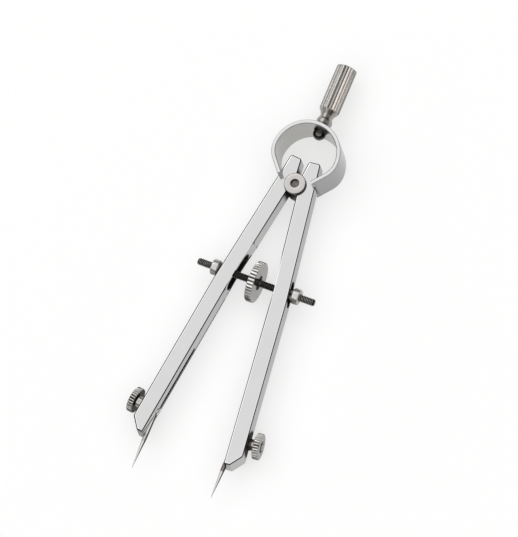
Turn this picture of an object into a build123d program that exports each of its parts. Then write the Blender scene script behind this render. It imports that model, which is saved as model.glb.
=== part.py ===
# Spring bow compass with a needle in each leg, lying on its back.
#
# Every shape is drawn in the compass's own frame: the pivot is the origin, X runs
# across the legs, Y runs up to the handle and Z is the front of the legs, which
# faces up as the compass lies. save() lifts each piece into the kept frame, whose
# origin is on the floor under the middle of the compass. Lengths are millimetres.
from math import cos, radians, sin, sqrt
import os

from build123d import *

os.makedirs("parts", exist_ok=True)

# Clearances
RUN = 0.05              # radial running clearance of a pin or a shaft
TOUCH = 0.02            # gap between two pieces screwed or pressed together

# Grips
NOTCH_DEPTH = 0.34      # of the V notches in the handle, the wheel and the clamp nuts

# Legs
LEG_WIDTH = 5.0         # across the front face
LEG_THICK = 6.2         # front to back
EDGE = 0.6              # rounding of the long edges
UPPER_ANGLE = 9.2       # from the compass's axis, pivot to bend
LOWER_ANGLE = 7.1       # from the compass's axis, bend to foot
INNER_OFFSET = 1.15     # inner side, from the line through the pivot
BEND_AT = 37.0          # along the leg, from the pivot
FOOT_AT = 51.6          # along the lower part, from the bend
FOOT_RISE = 3.3         # how much shorter the outer side of the foot is
FOOT_FLAT = 1.9         # square end at the inner side of the foot
HEAD_TOP = 8.5          # height of the head over the pivot
HEAD_INNER = (1.25, 8.15)   # inner top corner of the head
HEAD_FLANK = (0.6, 1.6)     # lower end of its inner side, over the pivot roller
RELIEF_AT = 30.0        # shallow hollow of the inner side, along the leg
RELIEF_LENGTH = 18.0
RELIEF_DEPTH = 0.4

# Pivot roller
CORE_RADIUS = 2.2
FLANGE_RADIUS = 3.35
FLANGE_THICK = 0.75
DIMPLE_RADIUS = 1.32
DIMPLE_DEPTH = 1.5

# Bow spring
RING_RADIUS = 10.1      # middle of the strip, upper half
RING_CENTRE = 9.4       # over the pivot
RING_SIDE_RADIUS = 6.9  # middle of the strip, lower corners
RING_TURN = 40.0        # turn of each lower corner
RING_TAIL = 5.1         # straight end of the strip
STRIP_THICK = 1.25
STRIP_WIDTH = 12.8
FORK_DEPTH = 0.35       # recess of the strip's end that straddles the leg
NOTCH_RADIUS = 0.95     # notch of the leg that takes the strip's end
NOTCH_BACK = 0.1        # the notch's centre, back from the strip's round end

# Handle and its screw
HANDLE_RADIUS = 3.2
HANDLE_TOP = 41.0
GRIP_BOTTOM = 26.1
NECK_RADIUS = 2.0
COLLAR_RADIUS = 2.5
COLLAR_FOOT = 2.2       # radius where the collar sits on the ring
FLUTES = 18
SCREW_RADIUS = 1.0
SCREW_HEAD_RADIUS = 2.0
SCREW_HEAD_HEIGHT = 2.5
SCREW_LENGTH = 5.0

# Spindle, wheel and travelling nuts
SPINDLE_DROP = 31.9     # axis of the spindle, below the pivot
SPINDLE_RADIUS = 1.15
SPINDLE_HALF = 19.25
WHEEL_RADIUS = 6.4
WHEEL_WIDTH = 2.2
WHEEL_NOTCHES = 36
WHEEL_RECESS = 2.3      # radius of the sunk ring round the spindle
NUT_RADIUS = 2.45
NUT_NOSE = 1.5          # small radius of the coned nose
NUT_START = 11.5        # tip of the nose, from the axis
NUT_END = 14.5
SLOT_WIDTH = 4.2
SLOT_INNER = (24.2, 38.0)   # ends of the slot in the inner side, along the leg
SLOT_OUTER = (30.0, 37.6)   # ends of the slot in the outer side

# Needle and its clamp
NEEDLE_X = 12.95        # the needles run parallel to the compass's axis
CLAMP_Z = -0.9          # the groove lies a little behind the middle of the leg
NEEDLE_RADIUS = 0.7
NEEDLE_TOP = -66.0
NEEDLE_TIP = -97.6
NEEDLE_TAPER = 9.6
CUTTER_RADIUS = 8.0     # of the cutter that leaves the groove's rounded start
GROOVE_FULL = -64.2     # height where the groove reaches its full depth
BOLT_AT = 43.2          # along the lower part, from the bend
BOLT_RADIUS = 1.15
BOLT_HEAD_OUT = 0.5     # stands out of the inner side
BOLT_DRAW = 0.30        # travel of the bolt as its nut is slackened
THUMB_RADIUS = 4.0
THUMB_WIDTH = 1.9
THUMB_NOTCHES = 28
HUB_RADIUS = 1.8
HUB_HEIGHT = 1.9

# Derived places
FLANGE_SEAT = LEG_THICK / 2 + RUN
REST_LIFT = WHEEL_RADIUS
REST_SHIFT = -(HANDLE_TOP + NEEDLE_TIP) / 2


def upper(along, across):
    """Point of the right leg above its bend, from the pivot."""
    a = radians(UPPER_ANGLE)
    return (sin(a) * along + cos(a) * across, -cos(a) * along + sin(a) * across)


def lower(along, across):
    """Point of the right leg below its bend, from the inner side at the bend."""
    a = radians(LOWER_ANGLE)
    x, y = upper(BEND_AT, INNER_OFFSET)
    return (x + sin(a) * along + cos(a) * across,
            y - cos(a) * along + sin(a) * across)


def place(point, z=0.0):
    return Pos(point[0], point[1], z)


def side_plane(point, angle, z=0.0):
    """Plane on a leg's side: its normal points out of the leg, its X down the leg."""
    a = radians(angle)
    return Plane(origin=(point[0], point[1], z), x_dir=(sin(a), -cos(a), 0),
                 z_dir=(cos(a), sin(a), 0))


def save(node, shape):
    export_step(Pos(0, REST_SHIFT, REST_LIFT) * shape, f"parts/{node}.step")


def mirrored(shape):
    return mirror(shape, about=Plane.YZ)


def ring_of(tool, count):
    """Copies of a tool round the Z axis, half a step from X."""
    return [Rot(0, 0, 360.0 * (i + 0.5) / count) * tool for i in range(count)]


def v_notches(radius, length, count):
    """Square bars, corner inwards, that cut V notches along a round piece."""
    proud = 0.15
    side = (NOTCH_DEPTH + proud) * sqrt(2)
    return ring_of(Pos(radius + proud, 0, 0) * Rot(0, 0, 45) * Box(side, side, length), count)


# Legs

def leg_blank():
    """Right leg without its cuts: a bar bent at the spindle, with a tapered head."""
    outer = INNER_OFFSET + LEG_WIDTH
    a = radians(UPPER_ANGLE)
    head_outer_along = -(HEAD_TOP - sin(a) * outer) / cos(a)
    outline = Polyline(
        upper(1.0, INNER_OFFSET),
        upper(BEND_AT, INNER_OFFSET),
        lower(FOOT_AT, 0.0),
        lower(FOOT_AT, FOOT_FLAT),
        lower(FOOT_AT - FOOT_RISE, LEG_WIDTH),
        upper(BEND_AT, outer),
        upper(head_outer_along, outer),
        HEAD_INNER,
        HEAD_FLANK,
        close=True,
    )
    face = make_face(outline)
    foot = [lower(FOOT_AT - FOOT_RISE, LEG_WIDTH)]
    head = [upper(head_outer_along, outer), HEAD_INNER]
    face = fillet(corners_near(face, foot), 1.0)
    face = fillet(corners_near(face, head), 0.7)
    bar = Pos(0, 0, -LEG_THICK / 2) * extrude(face, LEG_THICK)
    rims = bar.edges().filter_by(lambda e: abs(e.center().Z) > LEG_THICK / 2 - 0.01)
    return fillet(rims, EDGE)


def cap(rim_radius, rim, top):
    """Arc from a rim to the Y axis whose centre is on the axis, for a round end."""
    rise = top - rim
    radius = (rim_radius ** 2 + rise ** 2) / (2 * abs(rise))
    centre = top - radius * (1 if rise > 0 else -1)
    middle_x = rim_radius / 2
    middle = sqrt(radius ** 2 - middle_x ** 2) * (1 if rise > 0 else -1)
    return ThreePointArc((rim_radius, rim), (middle_x, centre + middle), (0, top))


def corners_near(face, points):
    chosen = []
    for x, y in points:
        chosen.append(face.vertices().sort_by_distance((x, y, 0))[0])
    return chosen


def spindle_slot():
    """Slot through the leg, wider on the inner side so that the leg can swing."""
    faces = []
    ends = ((SLOT_INNER, INNER_OFFSET - 0.8), (SLOT_OUTER, INNER_OFFSET + LEG_WIDTH + 0.8))
    for (start, end), across in ends:
        plane = side_plane(upper((start + end) / 2, across), UPPER_ANGLE)
        faces.append(plane * SlotOverall(end - start, SLOT_WIDTH))
    return loft(faces)


def relief():
    """Shallow hollow of the inner side round the spindle."""
    radius = (RELIEF_LENGTH ** 2 / 4 + RELIEF_DEPTH ** 2) / (2 * RELIEF_DEPTH)
    centre = upper(RELIEF_AT, INNER_OFFSET + RELIEF_DEPTH - radius)
    return place(centre) * Cylinder(radius, LEG_THICK + 2)


def needle_groove():
    """Groove for the needle, open to the inner side, with a cutter's run-out."""
    radius = NEEDLE_RADIUS + RUN
    bottom = lower(FOOT_AT + 4, 0)[1]
    length = GROOVE_FULL - bottom
    middle = (GROOVE_FULL + bottom) / 2
    seat = Pos(NEEDLE_X, middle, CLAMP_Z) * Rot(90, 0, 0) * Cylinder(radius, length)
    mouth = Pos(NEEDLE_X - 3, middle, CLAMP_Z) * Box(6, length, 2 * radius)
    cutter = Pos(NEEDLE_X + radius - CUTTER_RADIUS, GROOVE_FULL, CLAMP_Z)
    return seat + mouth + cutter * Cylinder(CUTTER_RADIUS, 2 * radius)


def bolt_frame(across=0.0):
    """Plane across the clamp bolt's axis, counted from the leg's inner side."""
    return side_plane(lower(BOLT_AT, across), LOWER_ANGLE, CLAMP_Z)


def spring_notch():
    """Half-round notch of the outer side that takes the end of the bow spring."""
    return place(strip_point(NOTCH_BACK)) * Cylinder(NOTCH_RADIUS, LEG_THICK + 2)


def right_leg():
    leg = leg_blank()
    leg -= Cylinder(CORE_RADIUS + RUN, LEG_THICK + 2)
    leg -= relief()
    leg -= spindle_slot()
    leg -= needle_groove()
    leg -= bolt_frame(-2) * extrude(Circle(BOLT_RADIUS + RUN), LEG_WIDTH + 4)
    leg -= spring_notch()
    return leg


# Pivot roller

def pivot_roller():
    """Spool that the legs' half-round notches roll on, with a dimple at each end."""
    top = FLANGE_SEAT + FLANGE_THICK
    half = Polyline(
        (0, 0), (CORE_RADIUS, 0), (CORE_RADIUS, FLANGE_SEAT),
        (FLANGE_RADIUS, FLANGE_SEAT), (FLANGE_RADIUS, top - 0.2),
        (FLANGE_RADIUS - 0.2, top), (DIMPLE_RADIUS + 0.12, top),
        (DIMPLE_RADIUS, top - 0.12), (DIMPLE_RADIUS, top - DIMPLE_DEPTH),
        (0, top - DIMPLE_DEPTH - 0.3), close=True,
    )
    upper_half = revolve(Plane.XZ * make_face(half), Axis.Z)
    return upper_half + mirror(upper_half, about=Plane.XY)


# Bow spring

def strip_path():
    """Middle line of the right half of the strip, from its end to its top."""
    side_centre = (RING_RADIUS - RING_SIDE_RADIUS, RING_CENTRE)
    a = radians(RING_TURN)
    low = (side_centre[0] + RING_SIDE_RADIUS * cos(a),
           side_centre[1] - RING_SIDE_RADIUS * sin(a))
    end = (low[0] - RING_TAIL * sin(a), low[1] - RING_TAIL * cos(a))
    return end, low, side_centre


def strip_point(back=0.0):
    """Centre of the strip's round end between the prongs, or a point back from it."""
    end, _, _ = strip_path()
    a = radians(RING_TURN)
    reach = FORK_DEPTH + STRIP_THICK / 2 + back
    return (end[0] + reach * sin(a), end[1] + reach * cos(a))


def bow_spring():
    end, low, side_centre = strip_path()
    tail = Line(end, low)
    side = CenterArc(side_centre, RING_SIDE_RADIUS, -RING_TURN, RING_TURN)
    crown = CenterArc((0, RING_CENTRE), RING_RADIUS, 0, 90)
    path = Wire([tail.edge(), side.edge(), crown.edge()])
    start = Plane(origin=path @ 0, z_dir=path % 0, x_dir=(0, 0, 1))
    section = start * chamfer(Rectangle(STRIP_WIDTH, STRIP_THICK).vertices(), 0.22)
    half = sweep(section, path)
    a = radians(RING_TURN)
    fork_plane = Plane(origin=(end[0], end[1], 0), z_dir=(sin(a), cos(a), 0),
                       x_dir=(0, 0, 1))
    recess = LEG_THICK + 4 * RUN
    half -= fork_plane * Box(recess, 4, 2 * (FORK_DEPTH + STRIP_THICK / 2))
    half += place(strip_point()) * Cylinder(STRIP_THICK / 2, recess)
    hole = Pos(0, RING_CENTRE + RING_RADIUS, 0) * Rot(90, 0, 0)
    ring = half + mirrored(half)
    return ring - hole * Cylinder(SCREW_RADIUS + TOUCH, 4)


# Handle

def handle():
    """Fluted grip over a waisted neck and a round collar that sits on the spring."""
    ring_outside = RING_RADIUS + STRIP_THICK / 2
    seat = RING_CENTRE + ring_outside
    with BuildPart() as grip:
        with BuildSketch(Plane.XY):
            with BuildLine():
                base = seat - 0.5
                Polyline((0, base), (COLLAR_FOOT, base), (COLLAR_FOOT, seat + 1.0))
                ThreePointArc((COLLAR_FOOT, seat + 1.0),
                              (COLLAR_RADIUS, seat + 2.0),
                              (COLLAR_FOOT, seat + 2.95))
                ThreePointArc((COLLAR_FOOT, seat + 2.95),
                              (NECK_RADIUS, seat + 3.85),
                              (NECK_RADIUS + 0.3, GRIP_BOTTOM - 1.35))
                Polyline((NECK_RADIUS + 0.3, GRIP_BOTTOM - 1.35),
                         (NECK_RADIUS + 0.65, GRIP_BOTTOM - 0.8),
                         (HANDLE_RADIUS, GRIP_BOTTOM),
                         (HANDLE_RADIUS, HANDLE_TOP - 0.5),
                         (HANDLE_RADIUS - 0.2, HANDLE_TOP - 0.3))
                cap(HANDLE_RADIUS - 0.2, HANDLE_TOP - 0.3, HANDLE_TOP)
                Line((0, HANDLE_TOP), (0, base))
            make_face()
        revolve(axis=Axis.Y)
    body = grip.part
    length = HANDLE_TOP - GRIP_BOTTOM + 1.2
    lay = Pos(0, (HANDLE_TOP + GRIP_BOTTOM) / 2, 0) * Rot(-90, 0, 0)
    body -= [lay * tool for tool in v_notches(HANDLE_RADIUS, length, FLUTES)]
    body -= Pos(0, RING_CENTRE, 0) * Cylinder(ring_outside + TOUCH, STRIP_WIDTH)
    depth = SCREW_LENGTH
    hole = Pos(0, seat + depth / 2 - 0.5, 0) * Rot(90, 0, 0)
    return body - hole * Cylinder(SCREW_RADIUS + TOUCH, depth)


def handle_screw():
    """Round-headed slotted screw that holds the handle from inside the spring."""
    inside = RING_RADIUS - STRIP_THICK / 2
    seat = RING_CENTRE + sqrt(inside ** 2 - SCREW_HEAD_RADIUS ** 2) - TOUCH
    low = seat - SCREW_HEAD_HEIGHT
    head = make_face(Polyline((0, seat), (SCREW_HEAD_RADIUS, seat),
                              (SCREW_HEAD_RADIUS, seat - 0.35))
                     + cap(SCREW_HEAD_RADIUS, seat - 0.35, low)
                     + Line((0, low), (0, seat)))
    screw = revolve(head, Axis.Y)
    screw -= Pos(0, low, 0) * Box(4, 0.9, 0.5)
    shank = SCREW_LENGTH - 0.2
    screw += Pos(0, seat + shank / 2, 0) * Rot(90, 0, 0) * Cylinder(SCREW_RADIUS, shank)
    return screw


# Spindle group

def across_axis(x=0.0):
    """Turns a piece built round Z into one round the spindle, starting at x."""
    return Pos(x, -SPINDLE_DROP, 0) * Rot(0, 90, 0)


def spindle():
    rod = Cylinder(SPINDLE_RADIUS, 2 * SPINDLE_HALF)
    rod = chamfer(rod.edges().filter_by(GeomType.CIRCLE), 0.3)
    return across_axis() * rod


def notched_disc(radius, width, notches):
    """Disc with bevelled rims and V notches across its edge."""
    disc = Cylinder(radius, width)
    disc = chamfer(disc.edges().filter_by(GeomType.CIRCLE), 0.2)
    return disc - v_notches(radius, width + 1, notches)


def adjusting_wheel():
    wheel = notched_disc(WHEEL_RADIUS, WHEEL_WIDTH, WHEEL_NOTCHES)
    sink = Cylinder(WHEEL_RECESS, 1.2)
    wheel -= Pos(0, 0, WHEEL_WIDTH / 2) * sink
    wheel -= Pos(0, 0, -WHEEL_WIDTH / 2) * sink
    wheel -= Cylinder(SPINDLE_RADIUS + TOUCH, WHEEL_WIDTH + 1)
    return across_axis() * wheel


def right_nut():
    """Round nut outside the leg; its coned nose points into the leg's slot."""
    cone = NUT_RADIUS - NUT_NOSE
    profile = Polyline(
        (0, 0), (NUT_NOSE, 0), (NUT_RADIUS, cone),
        (NUT_RADIUS, NUT_END - NUT_START - 0.3),
        (NUT_RADIUS - 0.3, NUT_END - NUT_START), (0, NUT_END - NUT_START), close=True,
    )
    nut = revolve(Plane.XZ * make_face(profile), Axis.Z)
    nut -= Cylinder(SPINDLE_RADIUS + RUN, 10)
    return across_axis(NUT_START) * nut


# Needle clamps

def right_needle():
    """Plain steel needle with a long taper."""
    shoulder = NEEDLE_TIP + NEEDLE_TAPER
    profile = Polyline(
        (0, NEEDLE_TOP), (NEEDLE_RADIUS - 0.2, NEEDLE_TOP),
        (NEEDLE_RADIUS, NEEDLE_TOP - 0.2), (NEEDLE_RADIUS, shoulder),
        (0.08, NEEDLE_TIP + 0.1), (0, NEEDLE_TIP), close=True,
    )
    return Pos(NEEDLE_X, 0, CLAMP_Z) * revolve(make_face(profile), Axis.Y)


def right_clamp_bolt():
    """Bolt with a round head and a cross hole that draws the needle into its groove."""
    total = BOLT_HEAD_OUT + LEG_WIDTH + HUB_HEIGHT + THUMB_WIDTH - 0.5
    frame = bolt_frame(-BOLT_HEAD_OUT)
    bolt = frame * extrude(Circle(BOLT_RADIUS), total)
    bolt = chamfer(bolt.edges().filter_by(GeomType.CIRCLE), 0.25)
    eye = Cylinder(NEEDLE_RADIUS + RUN, 8)
    for shift in (0.0, BOLT_DRAW + RUN):
        y = lower(BOLT_AT, 0)[1]
        bolt -= Pos(NEEDLE_X + shift, y, CLAMP_Z) * Rot(90, 0, 0) * eye
    span = BOLT_DRAW + RUN
    y = lower(BOLT_AT, 0)[1]
    bolt -= (Pos(NEEDLE_X + span / 2, y, CLAMP_Z)
             * Box(span, 8, 2 * (NEEDLE_RADIUS + RUN)))
    return bolt


def right_clamp_nut():
    """Knurled thumb nut with a narrow hub that bears on the leg's outer side."""
    disc = Pos(0, 0, HUB_HEIGHT + THUMB_WIDTH / 2) * notched_disc(
        THUMB_RADIUS, THUMB_WIDTH, THUMB_NOTCHES)
    hub = Pos(0, 0, HUB_HEIGHT / 2) * Cylinder(HUB_RADIUS, HUB_HEIGHT)
    nut = disc + hub
    nut -= Pos(0, 0, HUB_HEIGHT + THUMB_WIDTH) * Cylinder(HUB_RADIUS, 0.8)
    nut -= Cylinder(BOLT_RADIUS + RUN, 20)
    seat = bolt_frame(LEG_WIDTH + RUN)
    return seat * nut


def build():
    save("bow_spring", bow_spring())
    save("pivot_roller", pivot_roller())
    save("handle", handle())
    save("handle_screw", handle_screw())
    save("spindle", spindle())
    save("adjusting_wheel", adjusting_wheel())
    pairs = {
        "leg": right_leg(),
        "nut": right_nut(),
        "clamp_bolt": right_clamp_bolt(),
        "clamp_nut": right_clamp_nut(),
        "needle": right_needle(),
    }
    for name, shape in pairs.items():
        save(f"right_{name}", shape)
        save(f"left_{name}", mirrored(shape))


build()
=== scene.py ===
from math import atan2, cos, pi, radians, sin

import bmesh
import bpy
import numpy as np
from mathutils import Matrix


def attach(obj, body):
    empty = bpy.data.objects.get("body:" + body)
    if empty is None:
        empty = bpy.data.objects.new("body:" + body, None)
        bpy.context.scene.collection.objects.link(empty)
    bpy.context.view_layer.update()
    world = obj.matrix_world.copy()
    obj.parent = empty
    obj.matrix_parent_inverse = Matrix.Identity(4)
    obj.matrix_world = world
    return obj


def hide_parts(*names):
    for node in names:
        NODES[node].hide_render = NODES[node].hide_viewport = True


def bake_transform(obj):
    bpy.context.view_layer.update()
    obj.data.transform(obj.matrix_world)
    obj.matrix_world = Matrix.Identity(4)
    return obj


# Spring bow compass lying on its back. Lengths are metres, in the frame of the packed
# model: X runs along the spindle, Y up to the handle, Z up out of the legs' faces.

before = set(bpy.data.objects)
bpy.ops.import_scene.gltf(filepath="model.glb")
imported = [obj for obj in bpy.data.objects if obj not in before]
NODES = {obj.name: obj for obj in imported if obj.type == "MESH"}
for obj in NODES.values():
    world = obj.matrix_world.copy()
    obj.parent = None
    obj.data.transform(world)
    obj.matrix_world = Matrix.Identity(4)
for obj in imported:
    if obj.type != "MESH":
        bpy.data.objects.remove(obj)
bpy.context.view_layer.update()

MM = 0.001
SIDES = (("right", 1), ("left", -1))
FRONT = (0, 0, 1)  # way that the legs' front faces look

# Places and sizes of the compass; those of a leg are the right one's
PIVOT = (0.0, 28.3 * MM, 6.4 * MM)
RING_CENTRE = (0.0, 37.7 * MM, 6.4 * MM)
NOTCH = (5.8985 * MM, 30.181 * MM, 6.4 * MM)
BEND = (7.051 * MM, -8.04 * MM, 6.4 * MM)
UPPER_ANGLE = radians(9.2)
LOWER_ANGLE = radians(7.1)
LEG_LEAN = radians(8.1)
LEG_WIDTH = 5.0 * MM
FOOT_AT = 51.6 * MM
FOOT_FLAT = 1.9 * MM
FOOT_RISE = 3.3 * MM
FOOT_SLOPE = 0.15
FOOT_REACH = 0.8 * MM
FOOT_Y = -59.2 * MM
BOLT_POINT = (12.39 * MM, -50.909 * MM, 5.5 * MM)
HANDLE_AXIS = (0.0, 0.0, 6.4 * MM)
GRIP_START = 54.4 * MM
SPINDLE_AXIS = (0.0, -3.6 * MM, 6.4 * MM)
SPINDLE_RADIUS = 1.15 * MM
SPINDLE_HALF = 19.25 * MM
THREAD_PITCH = 0.5 * MM
THREAD_DEPTH = 0.22 * MM
WHEEL_HALF = 1.1 * MM
LATHE_MARKS = 9.0e4

# Colours of the metals and their wear, and of painted shade, painted reflections and highlights
CHROME = (0.52, 0.518, 0.518)
RUBBED = (0.66, 0.66, 0.665)
# The ring's outside and inside are painted darker than its front, as painted shade
RING_OUTSIDE = (0.31, 0.312, 0.31)
RING_FRONT = (0.55, 0.55, 0.55)
RING_INSIDE = (0.45, 0.445, 0.43)
RING_RUBBED = (0.8, 0.8, 0.8)
NEEDLE_STEEL = (0.55, 0.54, 0.53)
# The left thumb nut is painted darker than the right one, as painted shade
RIGHT_THUMB = (0.55, 0.535, 0.515)
LEFT_THUMB = (0.44, 0.425, 0.405)
BOLT_STEEL = (0.55, 0.54, 0.53)
NUT_NICKEL = (0.45, 0.44, 0.425)
SCREW_STEEL = (0.16, 0.155, 0.15)
ROLLER_NICKEL = (0.43, 0.41, 0.40)
WHEEL_NICKEL = (0.6, 0.585, 0.565)
GRIP_PALE = (0.44, 0.425, 0.405)
GRIP_GREY = (0.33, 0.31, 0.29)
# Painted dark reflection, painted highlight and painted shade of the handle
GRIP_DARK_REFLECTION = (0.12, 0.105, 0.095)
GRIP_HIGHLIGHT = (0.62, 0.57, 0.53)
GRIP_SHADE = (0.07, 0.062, 0.056)
THREAD_BLACK = (0.014, 0.013, 0.012)
THREAD_RUBBED = (0.55, 0.525, 0.5)
# Painted shade and painted reflections, apart from the brown-black band at the needles' roots
EDGE_LINE_SHADE = (0.03, 0.03, 0.03)
NEEDLE_SHADE = (0.03, 0.028, 0.026)
LEG_SHADE = (0.022, 0.02, 0.018)
ROOT_BAND = (0.05, 0.028, 0.02)
NOTCH_SHADE = (0.03, 0.028, 0.027)
THUMB_SHADE = (0.03, 0.027, 0.025)
BOLT_SHADE = (0.2, 0.19, 0.18)
NUT_SHADE = (0.06, 0.056, 0.052)
SCREW_SHADE = (0.02, 0.019, 0.018)
ROLLER_SHADE = (0.03, 0.026, 0.024)
WHEEL_SHADE = (0.02, 0.018, 0.016)

# Camera, from the perspective of the photo: its axes are right, up and back
EYE = (0.2017, -0.1612, 0.7455)
EYE_AXES = ((0.90821, 0.38477, -0.16464),
            (-0.32908, 0.89960, 0.28710),
            (0.25858, -0.20657, 0.94365))
FOCAL_PIXELS = 2600
FRAME_PIXELS = 537
SENSOR = 36

# Brightness of the sky by the sine of its height over the horizon
SKY = [(0.0, 0.5), (0.2, 0.5), (0.34, 0.03), (0.5, 0.03), (0.6, 1.7), (0.82, 1.7),
       (0.92, 1.35)]
FLOOR_HALF = 1.6
FLOOR_OWN_SHARE = 0.65


# Camera, floor and light

def camera():
    """Camera at the photo's viewing angle."""
    data = bpy.data.cameras.new("camera")
    data.lens = FOCAL_PIXELS / FRAME_PIXELS * SENSOR
    data.sensor_width = SENSOR
    data.clip_start = 0.05
    data.clip_end = 20
    eye = bpy.data.objects.new("camera", data)
    bpy.context.scene.collection.objects.link(eye)
    turn = Matrix(EYE_AXES).transposed().to_4x4()
    eye.matrix_world = Matrix.Translation(EYE) @ turn
    bpy.context.scene.camera = eye


def floor():
    """White floor: the camera and polished metal see it lit in part by itself."""
    half = FLOOR_HALF
    corners = [(-half, -half, 0), (half, -half, 0), (half, half, 0), (-half, half, 0)]
    mesh = bpy.data.meshes.new("floor")
    mesh.from_pydata(corners, [], [(0, 1, 2, 3)])
    plane = bpy.data.objects.new("floor", mesh)
    bpy.context.scene.collection.objects.link(plane)
    mat, tree, shader = material("pale_floor")
    shader.inputs["Base Color"].default_value = (0.9, 0.9, 0.9, 1)
    shader.inputs["Roughness"].default_value = 0.8
    path = add(tree, "ShaderNodeLightPath")
    seen = calc(tree, "ADD", path.outputs["Is Camera Ray"], path.outputs["Is Glossy Ray"])
    seen = calc(tree, "ADD", seen, path.outputs["Is Transmission Ray"], clamp=True)
    white = add(tree, "ShaderNodeEmission", {"Color": (0.96, 0.96, 0.955, 1)})
    surface = add(tree, "ShaderNodeMixShader",
                  {0: calc(tree, "MULTIPLY", seen, FLOOR_OWN_SHARE), 1: shader.outputs[0],
                   2: white.outputs[0]})
    tree.links.new(surface.outputs[0], tree.nodes["Material Output"].inputs["Surface"])
    mesh.materials.append(mat)


def soft_light(name, place, aim, size, radiance):
    """Square lamp at a place, turned to aim, with the given brightness of its face."""
    data = bpy.data.lights.new(name, "AREA")
    data.shape = "SQUARE"
    data.size = size
    data.energy = radiance * 4 * size * size
    lamp = bpy.data.objects.new(name, data)
    bpy.context.scene.collection.objects.link(lamp)
    lamp.location = place
    away = np.array(place) - np.array(aim)
    heading = atan2(away[1], away[0]) + pi / 2
    tilt = atan2(np.hypot(away[0], away[1]), away[2])
    lamp.rotation_euler = (tilt, 0, heading)


def studio():
    """Pale dome over a dark band, which draws the metal's edges, and one soft lamp."""
    world = bpy.data.worlds.new("studio")
    bpy.context.scene.world = world
    world.use_nodes = True
    tree = world.node_tree
    tree.nodes.clear()
    out = tree.nodes.new("ShaderNodeOutputWorld")
    light = tree.nodes.new("ShaderNodeBackground")
    ramp = tree.nodes.new("ShaderNodeValToRGB")
    split = tree.nodes.new("ShaderNodeSeparateXYZ")
    where = tree.nodes.new("ShaderNodeTexCoord")
    tree.links.new(where.outputs["Generated"], split.inputs[0])
    tree.links.new(split.outputs["Z"], ramp.inputs["Fac"])
    tree.links.new(ramp.outputs["Color"], light.inputs["Color"])
    tree.links.new(light.outputs["Background"], out.inputs["Surface"])
    stops = ramp.color_ramp.elements
    stops[0].position, stops[1].position = SKY[0][0], SKY[-1][0]
    for height, _ in SKY[1:-1]:
        stops.new(height)
    for stop, (_, level) in zip(stops, SKY):
        stop.color = (level, level, level, 1)
    soft_light("key", (-0.75, 0.65, 1.0), (0, 0, 0), 0.45, 1.2)


# Shader helpers

def material(name):
    """New material, with its node tree and its shader."""
    mat = bpy.data.materials.new(name)
    mat.use_nodes = True
    tree = mat.node_tree
    return mat, tree, tree.nodes["Principled BSDF"]


def feed(tree, socket, value):
    """Links a socket's value to another socket, or sets a plain one."""
    if isinstance(value, bpy.types.NodeSocket):
        tree.links.new(value, socket)
    else:
        socket.default_value = value


def add(tree, kind, inputs=None, **settings):
    """New node: settings are its own, inputs are values or sockets to link."""
    node = tree.nodes.new(kind)
    for key, value in settings.items():
        setattr(node, key, value)
    for key, value in (inputs or {}).items():
        feed(tree, node.inputs[key], value)
    return node


def calc(tree, operation, *values, clamp=False):
    """Result of a Math node."""
    inputs = dict(enumerate(values))
    return add(tree, "ShaderNodeMath", inputs, operation=operation,
               use_clamp=clamp).outputs[0]


def both(tree, one, two):
    """Where both masks are one."""
    return calc(tree, "MULTIPLY", one, two)


def either(tree, one, two):
    """Where one mask or the other is one."""
    return calc(tree, "MAXIMUM", one, two)


def vector(tree, operation, one, two):
    """Result of a Vector Math node on two vectors."""
    node = add(tree, "ShaderNodeVectorMath", {0: one, 1: two}, operation=operation)
    return node.outputs["Value" if operation == "DOT_PRODUCT" else 0]


def parts(tree, value):
    """Outputs of a node that takes a vector apart."""
    return add(tree, "ShaderNodeSeparateXYZ", {0: value}).outputs


def spread(tree, value, low, high, start, end):
    """Value carried from low..high to start..end, clamped."""
    return add(tree, "ShaderNodeMapRange",
               {0: value, 1: low, 2: high, 3: start, 4: end}).outputs[0]


def mix(tree, fac, one, two):
    """Colour between one and two, each a colour or a socket."""
    node = add(tree, "ShaderNodeMix", data_type="RGBA")
    feed(tree, node.inputs[0], fac)
    for key, colour in ((6, one), (7, two)):
        is_socket = isinstance(colour, bpy.types.NodeSocket)
        feed(tree, node.inputs[key], colour if is_socket else (*colour, 1))
    return node.outputs[2]


def times(colour, factor):
    """Colour with its brightness changed, at most one."""
    return tuple(min(1.0, part * factor) for part in colour)


def bump(tree, height, distance):
    """Surface direction over marks of the given height."""
    return add(tree, "ShaderNodeBump", {"Height": height, "Distance": distance,
                                        "Strength": 1.0}).outputs["Normal"]


def new_group(name, inputs, outputs):
    """Node group with float or vector inputs, given as name to default value."""
    group = bpy.data.node_groups.new(name, "ShaderNodeTree")
    for key, value in inputs.items():
        kind = "NodeSocketFloat" if isinstance(value, float) else "NodeSocketVector"
        socket = group.interface.new_socket(key, in_out="INPUT", socket_type=kind)
        if kind == "NodeSocketFloat":
            socket.default_value = value
    for key in outputs:
        group.interface.new_socket(key, in_out="OUTPUT", socket_type="NodeSocketFloat")
    return group, group.nodes.new("NodeGroupInput"), group.nodes.new("NodeGroupOutput")


def use(tree, group, inputs):
    """Outputs of a node group placed in a material with its own values."""
    return add(tree, "ShaderNodeGroup", inputs, node_tree=group).outputs


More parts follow.
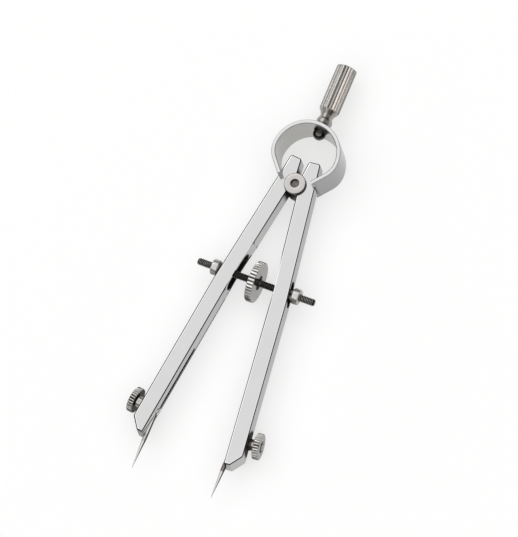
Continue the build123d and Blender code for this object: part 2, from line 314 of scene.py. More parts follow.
def grain_group():
    """Fine parallel marks: noise drawn out along the Y of the given vector."""
    group, given, out = new_group(
        "grain", {"Vector": None, "Across": 9000.0, "Along": 250.0}, ["Marks", "Bands"])
    split = parts(group, given.outputs["Vector"])
    across = calc(group, "MULTIPLY", split["X"], given.outputs["Across"])
    depth = calc(group, "MULTIPLY", split["Z"], given.outputs["Across"])
    along = calc(group, "MULTIPLY", split["Y"], given.outputs["Along"])
    joined = add(group, "ShaderNodeCombineXYZ", {0: across, 1: along, 2: depth})
    fine = add(group, "ShaderNodeTexNoise",
               {"Vector": joined.outputs[0], "Scale": 1.0, "Detail": 3.0, "Roughness": 0.6})
    slow = vector(group, "MULTIPLY", joined.outputs[0], (0.12, 0.3, 0.12))
    bands = add(group, "ShaderNodeTexNoise", {"Vector": slow, "Scale": 1.0, "Detail": 2.0})
    group.links.new(fine.outputs["Fac"], out.inputs["Marks"])
    group.links.new(bands.outputs["Fac"], out.inputs["Bands"])
    return group


def handling_group():
    """Cloudy handling marks and sparse hair scratches in no set direction."""
    group, given, out = new_group(
        "handling", {"Vector": None, "Cloud": 180.0, "Scratch": 420.0}, ["Clouds", "Scratches"])
    cloud = add(group, "ShaderNodeTexNoise",
                {"Vector": given.outputs["Vector"], "Scale": given.outputs["Cloud"],
                 "Detail": 4.0, "Roughness": 0.55})
    bent = add(group, "ShaderNodeTexNoise",
               {"Vector": given.outputs["Vector"], "Scale": given.outputs["Scratch"],
                "Detail": 1.0, "Distortion": 2.5})
    off = calc(group, "ABSOLUTE", calc(group, "SUBTRACT", bent.outputs["Fac"], 0.5))
    group.links.new(cloud.outputs["Fac"], out.inputs["Clouds"])
    group.links.new(spread(group, off, 0.0, 0.006, 1.0, 0.0), out.inputs["Scratches"])
    return group


def edge_group():
    """One on an edge and nought on a flat: how far a rounded normal leaves the true one."""
    group, given, out = new_group("edge_wear", {"Radius": 0.0002, "Gain": 3.0}, ["Edge"])
    soft = add(group, "ShaderNodeBevel", {"Radius": given.outputs["Radius"]}, samples=4)
    true = add(group, "ShaderNodeNewGeometry")
    dot = vector(group, "DOT_PRODUCT", soft.outputs[0], true.outputs["Normal"])
    away = calc(group, "SUBTRACT", 1.0, dot)
    edge = calc(group, "MULTIPLY", away, given.outputs["Gain"], clamp=True)
    group.links.new(edge, out.inputs["Edge"])
    return group


def axis_group():
    """Distance from an axis, and the place along it.

    The distance is the length of the vector from the centre without its part along the
    axis, and the place is that part.
    """
    group, given, out = new_group(
        "axis_distance", {"Vector": None, "Centre": None, "Axis": None}, ["Radius", "Along"])
    local = vector(group, "SUBTRACT", given.outputs["Vector"], given.outputs["Centre"])
    along = vector(group, "DOT_PRODUCT", local, given.outputs["Axis"])
    part = add(group, "ShaderNodeVectorMath",
               {0: given.outputs["Axis"], "Scale": along}, operation="SCALE")
    flat = vector(group, "SUBTRACT", local, part.outputs[0])
    length = add(group, "ShaderNodeVectorMath", {0: flat}, operation="LENGTH")
    group.links.new(length.outputs["Value"], out.inputs["Radius"])
    group.links.new(along, out.inputs["Along"])
    return group


GRAIN = grain_group()
HANDLING = handling_group()
EDGE = edge_group()
AXIS = axis_group()


def object_vector(tree, turn=0.0):
    """Object coordinates, turned about Z so that their Y runs along a leg."""
    where = add(tree, "ShaderNodeTexCoord").outputs["Object"]
    if not turn:
        return where
    mapping = add(tree, "ShaderNodeMapping", {"Vector": where, "Rotation": (0, 0, turn)})
    return mapping.outputs[0]


def normal_parts(tree):
    """The X, the Y and the absolute Z of the surface's direction, in the object's frame."""
    split = parts(tree, add(tree, "ShaderNodeTexCoord").outputs["Normal"])
    return split["X"], split["Y"], calc(tree, "ABSOLUTE", split["Z"])


def between(tree, where, origin, direction, low, high, soft=0.05 * MM):
    """One where the distance from origin along direction is between low and high."""
    far = vector(tree, "DOT_PRODUCT", vector(tree, "SUBTRACT", where, origin), direction)
    return both(tree, spread(tree, far, low - soft, low, 0.0, 1.0),
                spread(tree, far, high, high + soft, 1.0, 0.0))


def boxed(tree, where, zone):
    """One inside a zone: rows of an origin, a direction and two ends in millimetres."""
    inside = 1.0
    for origin, way, low, high in zone:
        inside = both(tree, inside, between(tree, where, origin, way, low * MM, high * MM))
    return inside


# Finishes

def on_side(sign, point):
    """Point of the right leg, carried to the leg of the given side."""
    return sign * point[0], point[1], point[2]


def leg_ways(sign, angle):
    """Directions down a leg and out of its side, for the part that leans by angle."""
    return (sign * sin(angle), -cos(angle), 0), (sign * cos(angle), sin(angle), 0)


def leg_sides(tree, tint, colour):
    """Brightens the sides of a leg, which are seen only aslant, as painted light."""
    lift = normal_parts(tree)[2]
    return mix(tree, spread(tree, lift, 0.3, 0.8, 1.0, 0.0), tint, times(colour, 1.22))


def edge_line(tree, limit):
    """One on the rounded long edges where the normal lies between a face and its side: the
    mask of a dark line painted there as painted reflection.

    On the side that faces +X the line gets thinner as limit goes from nought to one.
    """
    across, _, lift = normal_parts(tree)
    turned_away = calc(tree, "MULTIPLY_ADD", calc(tree, "MINIMUM", across, limit), 0.25, lift)
    return both(tree, spread(tree, lift, 0.12, 0.3, 0.0, 1.0),
                spread(tree, turned_away, 0.84, 0.89, 1.0, 0.0))


def leg_edges(tree, tint, colour, line):
    """Foot's end faces painted darker at line nought and lighter at line one, a painted glint
    inside the -X edges, and a painted dark reflection line along all edges.
    """
    across, lengthways, lift = normal_parts(tree)
    tint = mix(tree, spread(tree, lengthways, -0.55, -0.4, 1.0, 0.0), tint,
               times(colour, 0.7 + 0.4 * line))
    glint = both(tree, spread(tree, lift, 0.88, 0.92, 0.0, 1.0),
                 spread(tree, lift, 0.985, 0.998, 1.0, 0.0))
    glint = both(tree, glint, spread(tree, across, -0.1, -0.04, 1.0, 0.0))
    tint = mix(tree, glint, tint, times(colour, 1.35))
    return mix(tree, edge_line(tree, line), tint, EDGE_LINE_SHADE)


def plated(name, colour, darkening, darkened, across, along, turn=0.0, line=None, shaded=False,
           slant=1.0):
    """Polished plate: fine marks along the piece, handling marks and rubbed edges.

    darkening is a function that gives the mask of the places coloured darkened: painted shade
    and painted reflections on a leg, and a brown-black band at a needle's root; across and
    along are the scales of the marks, and turn the lean of the piece; line gives the painted
    dark line along a leg's edges its limit and sets how light the foot's end faces are
    painted; shaded paints shade on the +X side; slant is the tint of what is seen aslant.
    """
    rough = 0.07
    mat, tree, shader = material(name)
    where = object_vector(tree, turn)
    grain = use(tree, GRAIN, {"Vector": where, "Across": across, "Along": along})
    touch = use(tree, HANDLING, {"Vector": where})
    edge = use(tree, EDGE, {"Radius": 0.18 * MM, "Gain": 2.5})["Edge"]
    tint = mix(tree, spread(tree, touch["Clouds"], 0.35, 0.75, 0.0, 0.35), colour,
               times(colour, 0.93))
    if line is not None:
        tint = leg_sides(tree, tint, colour)
    tint = mix(tree, calc(tree, "MULTIPLY", edge, 0.5), tint, RUBBED)
    if line is not None:
        tint = leg_edges(tree, tint, colour, line)
    if shaded:
        tint = mix(tree, spread(tree, normal_parts(tree)[0], 0.35, 0.65, 0.0, 0.85), tint,
                   NEEDLE_SHADE)
    base = spread(tree, grain["Marks"], 0.3, 0.75, rough * 0.8, rough * 1.35)
    cloud = spread(tree, touch["Clouds"], 0.4, 0.8, 0.0, rough * 0.7)
    hair = calc(tree, "MULTIPLY", touch["Scratches"], 0.06)
    total = calc(tree, "ADD", calc(tree, "ADD", base, cloud), hair, clamp=True)
    black = darkening(tree)
    total = calc(tree, "MAXIMUM", total, calc(tree, "MULTIPLY", black, 0.5))
    tree.links.new(mix(tree, black, tint, darkened), shader.inputs["Base Color"])
    tree.links.new(total, shader.inputs["Roughness"])
    tree.links.new(bump(tree, grain["Marks"], 0.25e-6), shader.inputs["Normal"])
    shader.inputs["Specular Tint"].default_value = (slant, slant, slant, 1)
    shader.inputs["Metallic"].default_value = 1.0
    return mat


def leg_painted_shade(sign):
    """Mask of a leg's painted shade and painted reflections.

    They are its slot, groove and notches and its faces round the pivot, painted black as
    shade; its sides at the bolt, painted with the clamp nut's dark reflection; its side
    behind the slot and its back edge at the inner side, painted black as shade; and the
    roller's painted shadow.
    """
    bend, notch, bolt = (on_side(sign, point) for point in (BEND, NOTCH, BOLT_POINT))
    upper_down, upper_out = leg_ways(sign, UPPER_ANGLE)
    lower_down, lower_out = leg_ways(sign, LOWER_ANGLE)
    # Zones painted black as shade: the slot, the groove, the side behind the slot, the inner
    # back edge
    slot = ((PIVOT, upper_down, 23.9, 38.4), (PIVOT, upper_out, 1.2, 5.8),
            (PIVOT, FRONT, -2.12, 2.12))
    groove = ((bend, lower_down, 26.0, 51.7), (bend, lower_out, 0.12, 3.0),
              (PIVOT, FRONT, -1.68, -0.12), (PIVOT, (sign, 0, 0), 0.0, 13.74))
    under_slot = ((PIVOT, upper_down, 24.6, 37.6), (PIVOT, upper_out, 0.9, 1.9),
                  (PIVOT, FRONT, -3.3, -1.9))
    back_edge = ((bend, lower_down, 3.2, 51.3), (bend, lower_out, -0.6, 0.3),
                 (PIVOT, FRONT, -3.3, -1.9))
    # Rounds: painted shade at the notch and round the pivot, the clamp nut's painted reflection
    # at the bolt
    # centre, axis, radius, soft rim and the two ends along the axis, in millimetres
    rounds = ((notch, FRONT, 0.98, 0.03, -9.0, 9.0), (PIVOT, FRONT, 2.3, 0.03, -9.0, 9.0),
              (PIVOT, FRONT, 4.2, 1.6, -2.5, 2.5), (bolt, lower_out, 3.8, 0.7, 4.0, 9.0))

    def mask(tree):
        where = object_vector(tree)
        lift = normal_parts(tree)[2]
        wall = either(tree, spread(tree, lift, 0.5, 0.7, 0.0, 1.0),
                      between(tree, where, PIVOT, upper_out, 1.8 * MM, 5.8 * MM))
        total = both(tree, boxed(tree, where, slot), wall)
        for zone in (groove, under_slot, back_edge):
            total = either(tree, total, boxed(tree, where, zone))
        for centre, axis, radius, soft, low, high in rounds:
            place = use(tree, AXIS, {"Vector": where, "Centre": centre, "Axis": axis})
            near = spread(tree, place["Radius"], radius * MM, (radius + soft) * MM, 1.0, 0.0)
            total = either(tree, total, both(
                tree, near, between(tree, where, centre, axis, low * MM, high * MM)))
        aside = either(tree, spread(tree, lift, 0.7, 0.8, 1.0, 0.0),
                       between(tree, where, PIVOT, FRONT, -2.9 * MM, 2.9 * MM))
        return either(tree, both(tree, total, aside), roller_shadow(tree, where))
    return mask


def roller_shadow(tree, where):
    """Dark crescent on the legs' fronts, below and to the right of the roller's flange."""
    centre = (PIVOT[0] + 0.3 * MM, PIVOT[1] - 0.35 * MM, PIVOT[2])
    place = use(tree, AXIS, {"Vector": where, "Centre": centre, "Axis": FRONT})
    return both(tree, spread(tree, place["Radius"], 3.38 * MM, 3.5 * MM, 0.9, 0.0),
                spread(tree, place["Along"], 2.8 * MM, 2.9 * MM, 0.0, 1.0))


def root_band(share):
    """Brown-black band of a needle where it leaves its leg."""
    def mask(tree):
        return calc(tree, "MULTIPLY", share, between(
            tree, object_vector(tree), (0, FOOT_Y, 0), (0, 1, 0), -1.3 * MM, 0.6 * MM,
            soft=0.5 * MM))
    return mask


def cut_shade(tree, where, place, side, centre, axis, notch, grip, rim, gap, sunk):
    """Mask of a turned piece's painted shade: in its cuts, on a black rim and middle, and at
    its -Y side; turned() says what each size is.
    """
    shade = 0.0
    radius = place["Radius"]
    if notch:
        shade = both(tree, side, spread(tree, radius, notch[0], notch[1], 1.0, 0.0))
    if grip:
        height = parts(tree, vector(tree, "SUBTRACT", where, centre))["Y"]
        shade = both(tree, shade, spread(tree, height, 0.25 * grip, 0.7 * grip, 1.0, 0.6))
        low = spread(tree, height, -0.9 * grip, -0.55 * grip, 0.9, 0.0)
        shade = either(tree, shade, both(tree, low, side))
    if rim:
        shade = either(tree, shade, both(
            tree, side, spread(tree, radius, rim - 0.15 * MM, rim, 0.0, 1.0)))
    if gap:
        shade = either(tree, shade, between(tree, where, centre, axis, *gap, soft=0.03 * MM))
    if sunk:
        shade = either(tree, shade, spread(tree, radius, sunk - 0.06 * MM, sunk, 1.0, 0.0))
    return shade


def turned(name, colour, recess, centre, axis, rough, notch=None, sunk=None, gap=None,
           face=1.0, slant=1.0, hub=None, grip=None, rim=None):
    """Turned metal with rings round its axis, and painted shade where it is cut below its rim.

    recess is the colour of the painted shade; notch is the radius of the notches' floor and
    that of the rim; sunk is the radius of a recess in the end faces; gap gives the ends of a
    middle painted black as shade; face is the painted brightness of the end faces beside
    that of the rim; slant is the tint of what is seen aslant; hub is the radius, the end and
    the brightness of a hub's painted highlight; grip is the radius of a rim whose notches are
    painted less dark at its +Y side and whose sides are painted in shade at its -Y side; rim
    is the radius of a rim painted black as shade. Radii and ends are metres.
    """
    mat, tree, shader = material(name)
    source = add(tree, "ShaderNodeTexCoord")
    where = source.outputs["Object"]
    place = use(tree, AXIS, {"Vector": where, "Centre": centre, "Axis": axis})
    touch = use(tree, HANDLING, {"Vector": where, "Cloud": 420.0, "Scratch": 900.0})
    edge = use(tree, EDGE, {"Radius": 0.12 * MM, "Gain": 2.5})["Edge"]
    wave = add(tree, "ShaderNodeCombineXYZ",
               {0: calc(tree, "MULTIPLY", place["Radius"], LATHE_MARKS),
                1: calc(tree, "MULTIPLY", place["Along"], LATHE_MARKS)})
    ring = add(tree, "ShaderNodeTexNoise",
               {"Vector": wave.outputs[0], "Scale": 0.22, "Detail": 2.0}).outputs["Fac"]
    facing = vector(tree, "DOT_PRODUCT", source.outputs["Normal"], axis)
    side = calc(tree, "SUBTRACT", 1.0, calc(tree, "ABSOLUTE", facing), clamp=True)
    # painted shade in the cuts, on the black rim and middle, and at the -Y side
    shade = cut_shade(tree, where, place, side, centre, axis, notch, grip, rim, gap, sunk)
    shade = calc(tree, "MULTIPLY", shade, spread(tree, touch["Clouds"], 0.3, 0.7, 0.6, 1.0))
    plain = mix(tree, calc(tree, "SUBTRACT", 1.0, side), colour, times(colour, face))
    tint = mix(tree, shade, plain, recess)
    # painted highlight on the hub
    if hub:
        near = spread(tree, place["Radius"], hub[0], hub[0] + 0.04 * MM, 1.0, 0.0)
        near = both(tree, near, between(tree, where, centre, axis, 0.0, hub[1]))
        tint = mix(tree, both(tree, near, side), tint, times(colour, hub[2]))
    tint = mix(tree, calc(tree, "MULTIPLY", edge, 0.55), tint, times(colour, 1.18))
    total = calc(tree, "ADD", spread(tree, ring, 0.3, 0.7, rough * 0.8, rough * 1.3),
                 calc(tree, "MULTIPLY", shade, 0.15), clamp=True)
    tree.links.new(tint, shader.inputs["Base Color"])
    tree.links.new(total, shader.inputs["Roughness"])
    tree.links.new(bump(tree, ring, 1.5e-6), shader.inputs["Normal"])
    shader.inputs["Specular Tint"].default_value = (slant, slant, slant, 1)
    shader.inputs["Metallic"].default_value = 1.0
    return mat


def grip_nickel():
    """Dull nickel of the handle: specks all over, and painted shade down in the flutes.

    The painted shade in the flutes is faint at the -X side; a painted dark reflection runs
    down the middle, with a warm painted highlight beside it, and the neck is painted in
    shade where it turns a little toward +X.
    """
    mat, tree, shader = material("handle_nickel")
    where = object_vector(tree)
    place = use(tree, AXIS, {"Vector": where, "Centre": HANDLE_AXIS, "Axis": (0, 1, 0)})
    touch = use(tree, HANDLING, {"Vector": where, "Cloud": 700.0, "Scratch": 900.0})
    speck = add(tree, "ShaderNodeTexNoise", {"Vector": where, "Scale": 2400.0, "Detail": 3.0,
                                             "Roughness": 0.7}).outputs["Fac"]
    across = parts(tree, where)["X"]
    on_grip = spread(tree, place["Along"], GRIP_START - 0.3 * MM, GRIP_START, 0.0, 1.0)
    # painted shade down in the flutes, stronger toward +X
    darkened = both(tree, on_grip, spread(tree, place["Radius"], 2.88 * MM, 3.14 * MM, 1.0, 0.0))
    darkened = both(tree, darkened, spread(tree, touch["Clouds"], 0.3, 0.65, 0.6, 0.9))
    darkened = both(tree, darkened, spread(tree, across, -0.6 * MM, 0.5 * MM, 0.15, 0.95))
    # painted shade on the neck where it turns a little toward +X
    turn = normal_parts(tree)[0]
    shadow = both(tree, spread(tree, turn, 0.0, 0.15, 0.0, 0.9),
                  spread(tree, turn, 0.5, 0.7, 1.0, 0.0))
    shadow = both(tree, shadow, calc(tree, "SUBTRACT", 1.0, on_grip))
    # painted dark reflection down the middle and painted warm highlight beside it
    streak = both(tree, spread(tree, across, -0.5 * MM, 0.1 * MM, 0.0, 0.55),
                  spread(tree, across, 0.3 * MM, 0.9 * MM, 1.0, 0.0))
    warm = both(tree, spread(tree, across, 0.9 * MM, 1.3 * MM, 0.0, 1.0),
                spread(tree, across, 2.3 * MM, 2.8 * MM, 1.0, 0.0))
    tint = mix(tree, spread(tree, speck, 0.42, 0.66, 0.0, 1.0), GRIP_PALE, GRIP_GREY)
    tint = mix(tree, both(tree, streak, on_grip), tint, GRIP_DARK_REFLECTION)
    tint = mix(tree, both(tree, warm, on_grip), tint, GRIP_HIGHLIGHT)
    tint = mix(tree, either(tree, darkened, shadow), tint, GRIP_SHADE)
    tree.links.new(tint, shader.inputs["Base Color"])
    tree.links.new(spread(tree, speck, 0.35, 0.7, 0.3, 0.5), shader.inputs["Roughness"])
    tree.links.new(bump(tree, speck, 2e-6), shader.inputs["Normal"])
    shader.inputs["Metallic"].default_value = 1.0
    return mat


def ring_chrome():
    """Chrome of the bow spring: satin at its inner side; outside and inside painted darker
    than the front as painted shade, and painted shade where it sits in the legs' notches.
    """
    mat, tree, shader = material("spring_chrome")
    source = add(tree, "ShaderNodeTexCoord")
    where = source.outputs["Object"]
    touch = use(tree, HANDLING, {"Vector": where})
    # the halves' common face is no edge
    aside = calc(tree, "ABSOLUTE", parts(tree, where)["X"])
    edge = both(tree, use(tree, EDGE, {"Radius": 0.18 * MM, "Gain": 2.5})["Edge"],
                spread(tree, aside, 0.2 * MM, 0.3 * MM, 0.0, 1.0))
    radial = vector(tree, "DOT_PRODUCT", vector(tree, "SUBTRACT", where, RING_CENTRE),
                    source.outputs["Normal"])
    inner = spread(tree, radial, -6 * MM, 0.0, 1.0, 0.0)
    stretched = vector(tree, "MULTIPLY", where, (500.0, 500.0, 9000.0))
    draw = add(tree, "ShaderNodeTexNoise", {"Vector": stretched, "Scale": 1.0,
                                            "Detail": 3.0}).outputs["Fac"]
    lift = normal_parts(tree)[2]
    front = spread(tree, lift, 0.3, 0.8, 0.0, 1.0)
    # outside and inside painted darker than the front, as painted shade
    tint = mix(tree, inner, mix(tree, front, RING_OUTSIDE, RING_FRONT), RING_INSIDE)
    # painted shade on the sides beside the legs' notches
    for _, sign in SIDES:
        end = use(tree, AXIS, {"Vector": where, "Centre": (sign * NOTCH[0], NOTCH[1], 0),
                               "Axis": FRONT})
        near = both(tree, spread(tree, end["Radius"], 0.45 * MM, 0.7 * MM, 0.9, 0.0),
                    calc(tree, "SUBTRACT", 1.0, front))
        tint = mix(tree, near, tint, NOTCH_SHADE)
    tint = mix(tree, calc(tree, "MULTIPLY", edge, 0.6), tint, RING_RUBBED)
    clouds = spread(tree, touch["Clouds"], 0.4, 0.8, 0.0, 0.08)
    marks = spread(tree, draw, 0.35, 0.7, -0.02, 0.04)
    rough = calc(tree, "ADD", spread(tree, inner, 0.0, 1.0, 0.12, 0.24),
                 calc(tree, "ADD", clouds, marks), clamp=True)
    bevel = both(tree, spread(tree, lift, 0.4, 0.6, 0.0, 1.0),
                 spread(tree, lift, 0.8, 0.95, 1.0, 0.0))
    rough = calc(tree, "MAXIMUM", rough, calc(tree, "MULTIPLY", bevel, 0.42))
    tree.links.new(tint, shader.inputs["Base Color"])
    tree.links.new(rough, shader.inputs["Roughness"])
    tree.links.new(bump(tree, draw, 0.6e-6), shader.inputs["Normal"])
    shader.inputs["Metallic"].default_value = 1.0
    return mat


def blackened():
    """Black oxide thread: brown-black in the roots, rubbed grey on the crests, which are
    painted fainter between the legs as painted shade.
    """
    mat, tree, shader = material("black_oxide")
    where = object_vector(tree)
    place = use(tree, AXIS, {"Vector": where, "Centre": SPINDLE_AXIS, "Axis": (1, 0, 0)})
    touch = use(tree, HANDLING, {"Vector": where, "Cloud": 900.0, "Scratch": 1500.0})
    crest = spread(tree, place["Radius"], SPINDLE_RADIUS - 0.4 * THREAD_DEPTH,
                   SPINDLE_RADIUS, 0.0, 1.0)
    # crests painted fainter between the legs, as painted shade
    outside = spread(tree, calc(tree, "ABSOLUTE", place["Along"]), 12 * MM, 15 * MM, 0.2, 1.0)
    rubbed = both(tree, both(tree, crest, outside),
                  spread(tree, touch["Clouds"], 0.35, 0.7, 0.35, 1.0))
    tree.links.new(mix(tree, rubbed, THREAD_BLACK, THREAD_RUBBED),
                   shader.inputs["Base Color"])
    tree.links.new(spread(tree, touch["Clouds"], 0.3, 0.7, 0.26, 0.42),
                   shader.inputs["Roughness"])
    shader.inputs["Metallic"].default_value = 0.85
    return mat


# Shapes

def smooth_group():
    """Modifier nodes: faces smooth, and edges over 30 degrees kept sharp."""
    group = bpy.data.node_groups.new("smooth_by_angle", "GeometryNodeTree")
    group.interface.new_socket("Geometry", in_out="INPUT", socket_type="NodeSocketGeometry")
    group.interface.new_socket("Geometry", in_out="OUTPUT", socket_type="NodeSocketGeometry")
    given = group.nodes.new("NodeGroupInput")
    out = group.nodes.new("NodeGroupOutput")
    angle = group.nodes.new("GeometryNodeInputMeshEdgeAngle")
    under = add(group, "FunctionNodeCompare", operation="LESS_THAN", data_type="FLOAT")
    under.inputs[1].default_value = radians(30)
    group.links.new(angle.outputs["Unsigned Angle"], under.inputs[0])
    faces = add(group, "GeometryNodeSetShadeSmooth", domain="FACE")
    edges = add(group, "GeometryNodeSetShadeSmooth", domain="EDGE")
    group.links.new(given.outputs[0], faces.inputs["Geometry"])
    group.links.new(faces.outputs[0], edges.inputs["Geometry"])
    group.links.new(under.outputs[0], edges.inputs["Shade Smooth"])
    group.links.new(edges.outputs[0], out.inputs[0])
    return group


SMOOTH = smooth_group()


def finish(node, mat, bevel=0.05 * MM):
    """Dresses a CAD node: joined vertices, a small bevel on crisp edges, smooth curves."""
    piece = NODES[node]
    weld = piece.modifiers.new("weld", "WELD")
    weld.merge_threshold = 1e-6
    if bevel:
        edge = piece.modifiers.new("edges", "BEVEL")
        edge.width = bevel
        edge.segments = 2
        edge.limit_method = "ANGLE"
        edge.angle_limit = radians(40)
    shade = piece.modifiers.new("shade", "NODES")
    shade.node_group = SMOOTH
    piece.data.materials.clear()
    piece.data.materials.append(mat)


def new_piece(name, points, faces, mat):
    """Object at the origin with a mesh of the given points and faces."""
    mesh = bpy.data.meshes.new(name)
    mesh.from_pydata(points.tolist(), [], faces)
    mesh.materials.append(mat)
    piece = bpy.data.objects.new(name, mesh)
    bpy.context.scene.collection.objects.link(piece)
    return piece


def merged(node):
    """Points and faces of a copy of a CAD node's mesh, with its loose triangles joined."""
    source = NODES[node].data
    points = np.empty(len(source.vertices) * 3)
    source.vertices.foreach_get("co", points)
    corners = np.empty(len(source.loops), int)
    source.loops.foreach_get("vertex_index", corners)
    points = points.reshape(-1, 3)
    keys = np.round(points / 1e-6).astype(int)
    _, first, where = np.unique(keys, axis=0, return_index=True, return_inverse=True)
    faces = where.reshape(-1)[corners].reshape(-1, 3)
    faces = faces[(faces[:, 0] != faces[:, 1]) & (faces[:, 1] != faces[:, 2])
                  & (faces[:, 2] != faces[:, 0])]
    return points[first], faces


def threaded_spindle(mat):
    """Rod with a right-hand thread on the +X half and a left-hand one on the other.

    Radius = SPINDLE_RADIUS - THREAD_DEPTH * v(x / pitch -/+ angle / turn), where v is a
    rounded V wave, faded out under the wheel and at the bevelled ends. Rows run along
    the rod, about eight to a turn of the thread, and columns round it. Each end row is
    fanned to its mean.
    """
    rows, cols = 8 * 76 + 1, 32
    x = np.linspace(-SPINDLE_HALF, SPINDLE_HALF, rows)[:, None]
    angle = np.linspace(0, 2 * pi, cols + 1)[:-1][None, :]
    side = np.where(x >= 0, 1.0, -1.0)
    phase = x / THREAD_PITCH - side * angle / (2 * pi)
    wave = 0.5 - 0.5 * np.cos(2 * pi * phase)
    fade = np.clip((np.abs(x) - 1.4 * WHEEL_HALF) / (0.5 * MM), 0, 1)
    end = np.clip((SPINDLE_HALF - np.abs(x)) / (0.35 * MM), 0, 1)
    radius = (SPINDLE_RADIUS - THREAD_DEPTH * wave * fade) * (0.74 + 0.26 * end)
    grid = np.stack([np.broadcast_to(x, radius.shape),
                     SPINDLE_AXIS[1] + radius * np.cos(angle),
                     SPINDLE_AXIS[2] + radius * np.sin(angle)], -1)
    points = np.concatenate([grid.reshape(-1, 3), [grid[0].mean(0), grid[-1].mean(0)]])
    i, j = np.meshgrid(np.arange(rows - 1), np.arange(cols), indexing="ij")
    after = (j + 1) % cols
    quads = np.stack([i * cols + j, i * cols + after, (i + 1) * cols + after,
                      (i + 1) * cols + j], -1).reshape(-1, 4)
    k = np.arange(cols)
    top = (rows - 1) * cols
    low = np.stack([np.full(cols, rows * cols), (k + 1) % cols, k], -1)
    high = np.stack([np.full(cols, rows * cols + 1), top + k, top + (k + 1) % cols], -1)
    rod = new_piece("threaded_spindle", points,
                    quads.tolist() + low.tolist() + high.tolist(), mat)
    rod.data.polygons.foreach_set("use_smooth", np.ones(len(rod.data.polygons), bool))
    rod.data.update()
    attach(rod, "spindle")
    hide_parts("spindle")


def sloped_leg(side, sign, mat):
    """Copy of a leg whose foot ends in faces that slope, with the front edge drawn back.

    Points within FOOT_REACH of the end faces move along the leg by
    -FOOT_SLOPE * (z - middle).
    """
    points, faces = merged(f"{side}_leg")
    down, out = (np.array(way) for way in leg_ways(sign, LOWER_ANGLE))
    local = points - np.array(on_side(sign, BEND))
    along, across = local @ down, local @ out
    length = np.hypot(FOOT_RISE, LEG_WIDTH - FOOT_FLAT)
    slant = ((LEG_WIDTH - FOOT_FLAT) / length, FOOT_RISE / length)
    to_slant = slant[0] * (FOOT_AT - along) + slant[1] * (FOOT_FLAT - across)
    at_end = np.minimum(FOOT_AT - along, to_slant) < FOOT_REACH
    points += np.outer(np.where(at_end, -FOOT_SLOPE * local[:, 2], 0), down)
    piece = new_piece(f"{side}_leg_plated", points, faces.tolist(), mat)
    piece.modifiers.new("shade", "NODES").node_group = SMOOTH
    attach(piece, f"{side}_leg")
    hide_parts(f"{side}_leg")


def spring_half(side, sign, mat):
    """Half of the bow spring, cut in its middle and closed there.
    """
    points, faces = merged("bow_spring")
    piece = new_piece(f"{side}_spring_half", points, faces.tolist(), mat)
    work = bmesh.new()
    work.from_mesh(piece.data)
    cut = bmesh.ops.bisect_plane(
        work, geom=[*work.verts, *work.edges, *work.faces], dist=1e-7,
        plane_co=(0, 0, 0), plane_no=(-sign, 0, 0), clear_outer=True)["geom_cut"]
    rim = [part for part in cut if isinstance(part, bmesh.types.BMEdge)]
    bmesh.ops.triangulate(work, faces=bmesh.ops.edgenet_fill(work, edges=rim)["faces"])
    bmesh.ops.recalc_face_normals(work, faces=work.faces)
    work.to_mesh(piece.data)
    work.free()
    piece.modifiers.new("shade", "NODES").node_group = SMOOTH
    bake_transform(piece)
    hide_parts("bow_spring")


# The compass

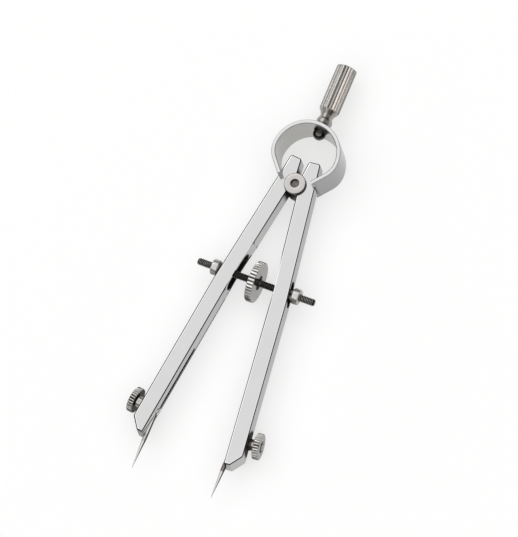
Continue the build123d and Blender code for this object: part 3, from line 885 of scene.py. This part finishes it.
def dress_leg(side, sign):
    """A leg with its clamp, its needle and its travelling nut."""
    is_right = sign > 0
    # line paints the right foot's end faces lighter and the left's darker, and limits the
    # painted edge line
    leg = plated(f"{side}_leg_chrome", CHROME, leg_painted_shade(sign), LEG_SHADE, 5200.0, 160.0,
                 turn=-sign * LEG_LEAN, line=1.0 if is_right else 0.0, slant=0.7)
    sloped_leg(side, sign, leg)
    _, out = leg_ways(sign, LOWER_ANGLE)
    bolt_at = on_side(sign, BOLT_POINT)
    # left thumb nut painted darker than the right in colour, faces, slant and hub: painted
    # shade
    thumb = turned(f"{side}_thumb_nickel", RIGHT_THUMB if is_right else LEFT_THUMB,
                   THUMB_SHADE, bolt_at, out, 0.14, notch=(3.88 * MM, 3.98 * MM),
                   sunk=1.78 * MM, face=0.62 if is_right else 0.3,
                   slant=0.8 if is_right else 0.4, grip=4.0 * MM,
                   hub=(1.82 * MM, 6.9 * MM, 1.3 if is_right else 1.0))
    finish(f"{side}_clamp_nut", thumb)
    bolt = turned(f"{side}_bolt_steel", BOLT_STEEL, BOLT_SHADE, bolt_at, out, 0.16)
    finish(f"{side}_clamp_bolt", bolt)
    # recess round the spindle and the -Y side painted in shade
    nut = turned(f"{side}_nut_nickel", NUT_NICKEL, NUT_SHADE, SPINDLE_AXIS, (1, 0, 0), 0.3,
                 sunk=1.24 * MM, grip=2.8 * MM)
    finish(f"{side}_nut", nut)
    needle = plated(f"{side}_needle_steel", NEEDLE_STEEL,
                    root_band(0.75 if is_right else 0.35), ROOT_BAND, 9000.0, 500.0,
                    shaded=True)
    finish(f"{side}_needle", needle, bevel=0)


def dress():
    """Gives every piece its finish, and its own mesh where the thread or slope needs one."""
    spring = ring_chrome()
    for side, sign in SIDES:
        spring_half(side, sign, spring)
        dress_leg(side, sign)
    finish("handle", grip_nickel())
    # the head's rim is painted black as shade
    screw = turned("screw_steel", SCREW_STEEL, SCREW_SHADE, HANDLE_AXIS, (0, 1, 0), 0.08,
                   rim=1.5 * MM)
    finish("handle_screw", screw)
    # core, hole, middle between the legs and flange rim are painted black as shade
    roller = turned("roller_nickel", ROLLER_NICKEL, ROLLER_SHADE, PIVOT, FRONT, 0.26,
                    notch=(2.9 * MM, 2.95 * MM), sunk=1.34 * MM,
                    gap=(-3.85 * MM, 3.2 * MM), rim=3.3 * MM)
    finish("pivot_roller", roller)
    # gaps and recess painted in shade, gaps less dark at the top, and the low side painted in
    # shade
    wheel = turned("wheel_nickel", WHEEL_NICKEL, WHEEL_SHADE, SPINDLE_AXIS, (1, 0, 0), 0.14,
                   notch=(6.27 * MM, 6.38 * MM), sunk=2.33 * MM, slant=0.6, grip=6.4 * MM)
    finish("adjusting_wheel", wheel)
    threaded_spindle(blackened())


camera()
floor()
studio()
dress()
bpy.context.scene.view_settings.view_transform = "Standard"
